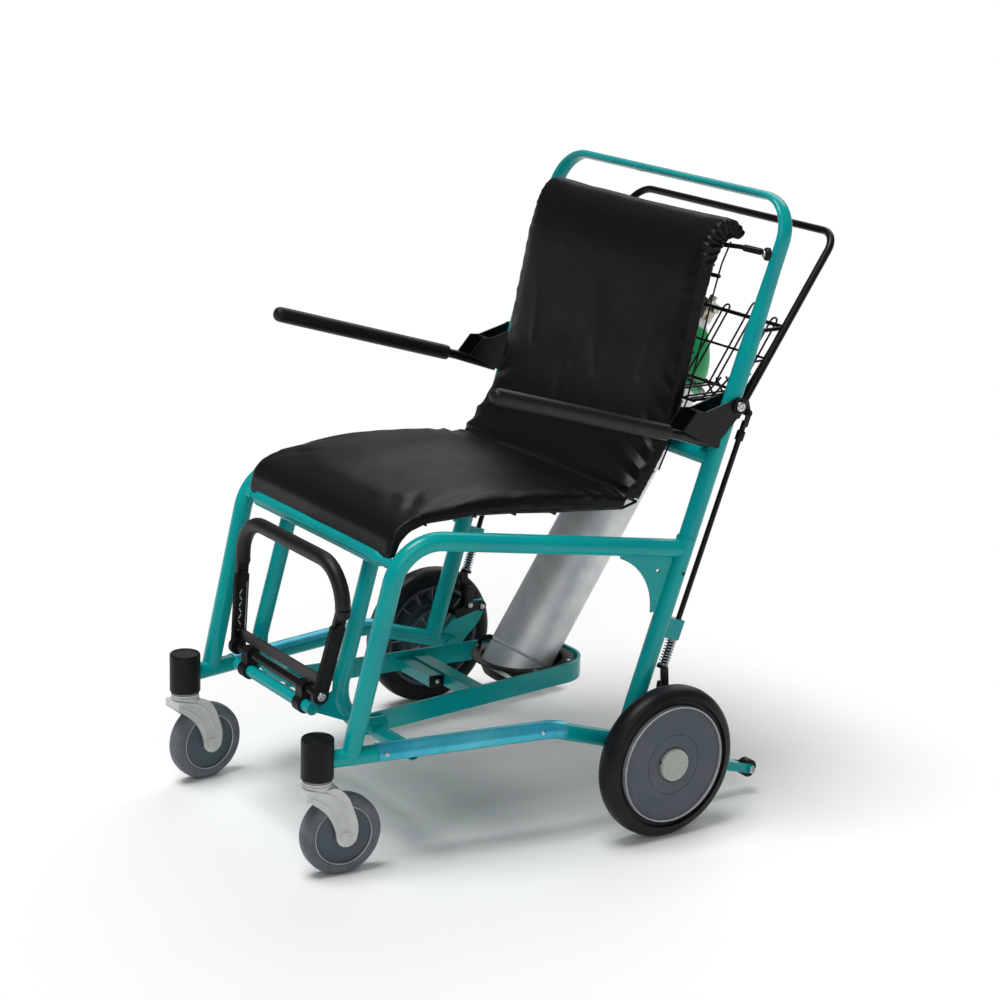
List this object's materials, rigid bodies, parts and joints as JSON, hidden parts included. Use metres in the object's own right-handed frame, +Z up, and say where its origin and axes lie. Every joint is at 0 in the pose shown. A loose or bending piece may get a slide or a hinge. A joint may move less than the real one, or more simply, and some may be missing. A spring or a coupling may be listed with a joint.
{
  "type": "stair chair",
  "caption": "Wheeled tube-frame patient transport chair with padded seat and back, flip-up armrests, folding footrest, hand brake bar, wire basket and gas cylinder cradle.",
  "frame": {"origin": "on the floor, below the middle of the chair's bounding box", "axes": "+Z up, -Y the way the occupant faces, +X the occupant's left"},
  "size_m": [0.759, 0.9601, 1.0019],
  "materials": {
    "frame_paint": "gloss powder coat",
    "guard_steel": "satin sheath over the lower rail",
    "black_paint": "satin powder coat",
    "black_plastic": "moulded, lightly textured",
    "grip_foam": "soft foam sleeve",
    "vinyl": "satin coated upholstery",
    "caster_grey": "moulded",
    "wheel_grey": "moulded",
    "tyre": "moulded",
    "zinc": "zinc plated",
    "cylinder_shell": "brushed with a green shoulder",
    "valve_metal": "plated"
  },
  "bodies": {
    "frame": {"armrest_bolt_left": "zinc", "armrest_bolt_right": "zinc", "axle_housing_left": "frame_paint", "axle_housing_right": "frame_paint", "back_pad": "vinyl", "back_shell": "black_paint", "basket": "black_paint", "brake_lugs_left": "black_paint", "brake_lugs_right": "black_paint", "brake_spring_left": "zinc", "brake_spring_right": "zinc", "caster_socket_left": "black_plastic", "caster_socket_right": "black_plastic", "cylinder_cup": "black_plastic", "foot_clamp_left": "black_plastic", "foot_clamp_right": "black_plastic", "foot_cross_tube": "frame_paint", "front_cross_tube": "frame_paint", "hanger_left": "frame_paint", "hanger_right": "frame_paint", "lower_rail_left": "frame_paint", "lower_rail_right": "frame_paint", "push_handle": "frame_paint", "rail_guard_left": "guard_steel", "rail_guard_right": "guard_steel", "rear_cross_tube": "frame_paint", "seat_pad": "vinyl", "seat_shell": "black_paint", "side_frame_left": "frame_paint", "side_frame_right": "frame_paint", "upright_left": "frame_paint", "upright_right": "frame_paint", "v_loop": "frame_paint"},
    "caster_left": {"caster_fork_left": "caster_grey"},
    "caster_roller_left": {"caster_wheel_left": "wheel_grey", "caster_tyre_left": "tyre"},
    "wheel_left": {"rear_wheel_left": "wheel_grey", "rear_tyre_left": "tyre", "wheel_drum_left": "wheel_grey"},
    "antitip_left": {"antitip_roller_left": "black_plastic"},
    "armrest_left": {"armrest_arm_left": "black_paint", "armrest_grip_left": "grip_foam"},
    "rod_left": {"brake_rod_left": "black_paint"},
    "lever_left": {"brake_lever_left": "black_paint"},
    "caster_right": {"caster_fork_right": "caster_grey"},
    "caster_roller_right": {"caster_wheel_right": "wheel_grey", "caster_tyre_right": "tyre"},
    "wheel_right": {"rear_wheel_right": "wheel_grey", "rear_tyre_right": "tyre", "wheel_drum_right": "wheel_grey"},
    "antitip_right": {"antitip_roller_right": "black_plastic"},
    "armrest_right": {"armrest_arm_right": "black_paint", "armrest_grip_right": "grip_foam"},
    "rod_right": {"brake_rod_right": "black_paint"},
    "lever_right": {"brake_lever_right": "black_paint"},
    "footrest": {"footrest_frame": "black_paint", "footrest_grip": "grip_foam"},
    "brake": {"brake_bar": "black_paint"},
    "cylinder": {"cylinder_body": "cylinder_shell", "cylinder_valve": "valve_metal"}
  },
  "joints": [
    {"name": "caster_swivel_left", "type": "hinge", "parent": "frame", "child": "caster_left", "pos_m": [0.217, -0.453, 0.18], "axis": [0, 0, 1], "continuous": true},
    {"name": "caster_roll_left", "type": "hinge", "parent": "caster_left", "child": "caster_roller_left", "pos_m": [0.22136, -0.41475, 0.065], "axis": [0.9936, -0.1132, 0], "continuous": true},
    {"name": "wheel_roll_left", "type": "hinge", "parent": "frame", "child": "wheel_left", "pos_m": [0.352, 0.105, 0.125], "axis": [1, 0, 0], "continuous": true},
    {"name": "antitip_roll_left", "type": "hinge", "parent": "frame", "child": "antitip_left", "pos_m": [0.285, 0.331, 0.045], "axis": [1, 0, 0], "continuous": true},
    {"name": "armrest_flip_left", "type": "hinge", "parent": "frame", "child": "armrest_left", "pos_m": [0.3, 0.2408, 0.681], "axis": [-1, 0, 0], "range_deg": [0, 97]},
    {"name": "rod_lift_left", "type": "slide", "parent": "frame", "child": "rod_left", "axis": [0.0287, 0.3175, 0.9478], "range_m": [0, 0.0042], "deforming": ["brake_spring_left"]},
    {"name": "lever_turn_left", "type": "hinge", "parent": "frame", "child": "lever_left", "pos_m": [0.2885, 0.171, 0.188], "axis": [-1, 0, 0], "range_deg": [0, 9]},
    {"name": "caster_swivel_right", "type": "hinge", "parent": "frame", "child": "caster_right", "pos_m": [-0.217, -0.453, 0.18], "axis": [0, 0, 1], "continuous": true},
    {"name": "caster_roll_right", "type": "hinge", "parent": "caster_right", "child": "caster_roller_right", "pos_m": [-0.22136, -0.41475, 0.065], "axis": [0.9936, 0.1132, 0], "continuous": true},
    {"name": "wheel_roll_right", "type": "hinge", "parent": "frame", "child": "wheel_right", "pos_m": [-0.352, 0.105, 0.125], "axis": [1, 0, 0], "continuous": true},
    {"name": "antitip_roll_right", "type": "hinge", "parent": "frame", "child": "antitip_right", "pos_m": [-0.285, 0.331, 0.045], "axis": [1, 0, 0], "continuous": true},
    {"name": "armrest_flip_right", "type": "hinge", "parent": "frame", "child": "armrest_right", "pos_m": [-0.3, 0.2408, 0.681], "axis": [-1, 0, 0], "range_deg": [0, 97]},
    {"name": "rod_lift_right", "type": "slide", "parent": "frame", "child": "rod_right", "axis": [-0.0287, 0.3175, 0.9478], "range_m": [0, 0.0042], "deforming": ["brake_spring_right"]},
    {"name": "lever_turn_right", "type": "hinge", "parent": "frame", "child": "lever_right", "pos_m": [-0.2885, 0.171, 0.188], "axis": [-1, 0, 0], "range_deg": [0, 9]},
    {"name": "footrest_fold", "type": "hinge", "parent": "frame", "child": "footrest", "pos_m": [0, -0.4015, 0.255], "axis": [1, 0, 0], "range_deg": [0, 110]},
    {"name": "brake_squeeze", "type": "hinge", "parent": "frame", "child": "brake", "pos_m": [0, 0.26, 0.67], "axis": [1, 0, 0], "range_deg": [0, 12], "stiffness_Nm_per_rad": 12, "springref_deg": -14.32},
    {"name": "cylinder_lift", "type": "slide", "parent": "frame", "child": "cylinder", "axis": [0, 0.5446, 0.8387], "range_m": [0, 0.2]}
  ],
  "couplings": [
    {"joint": "rod_lift_left", "follows": "brake_squeeze", "m_per_rad": 0.019159},
    {"joint": "lever_turn_left", "follows": "brake_squeeze", "ratio": 0.71438},
    {"joint": "rod_lift_right", "follows": "brake_squeeze", "m_per_rad": 0.019159},
    {"joint": "lever_turn_right", "follows": "brake_squeeze", "ratio": 0.71438}
  ]
}
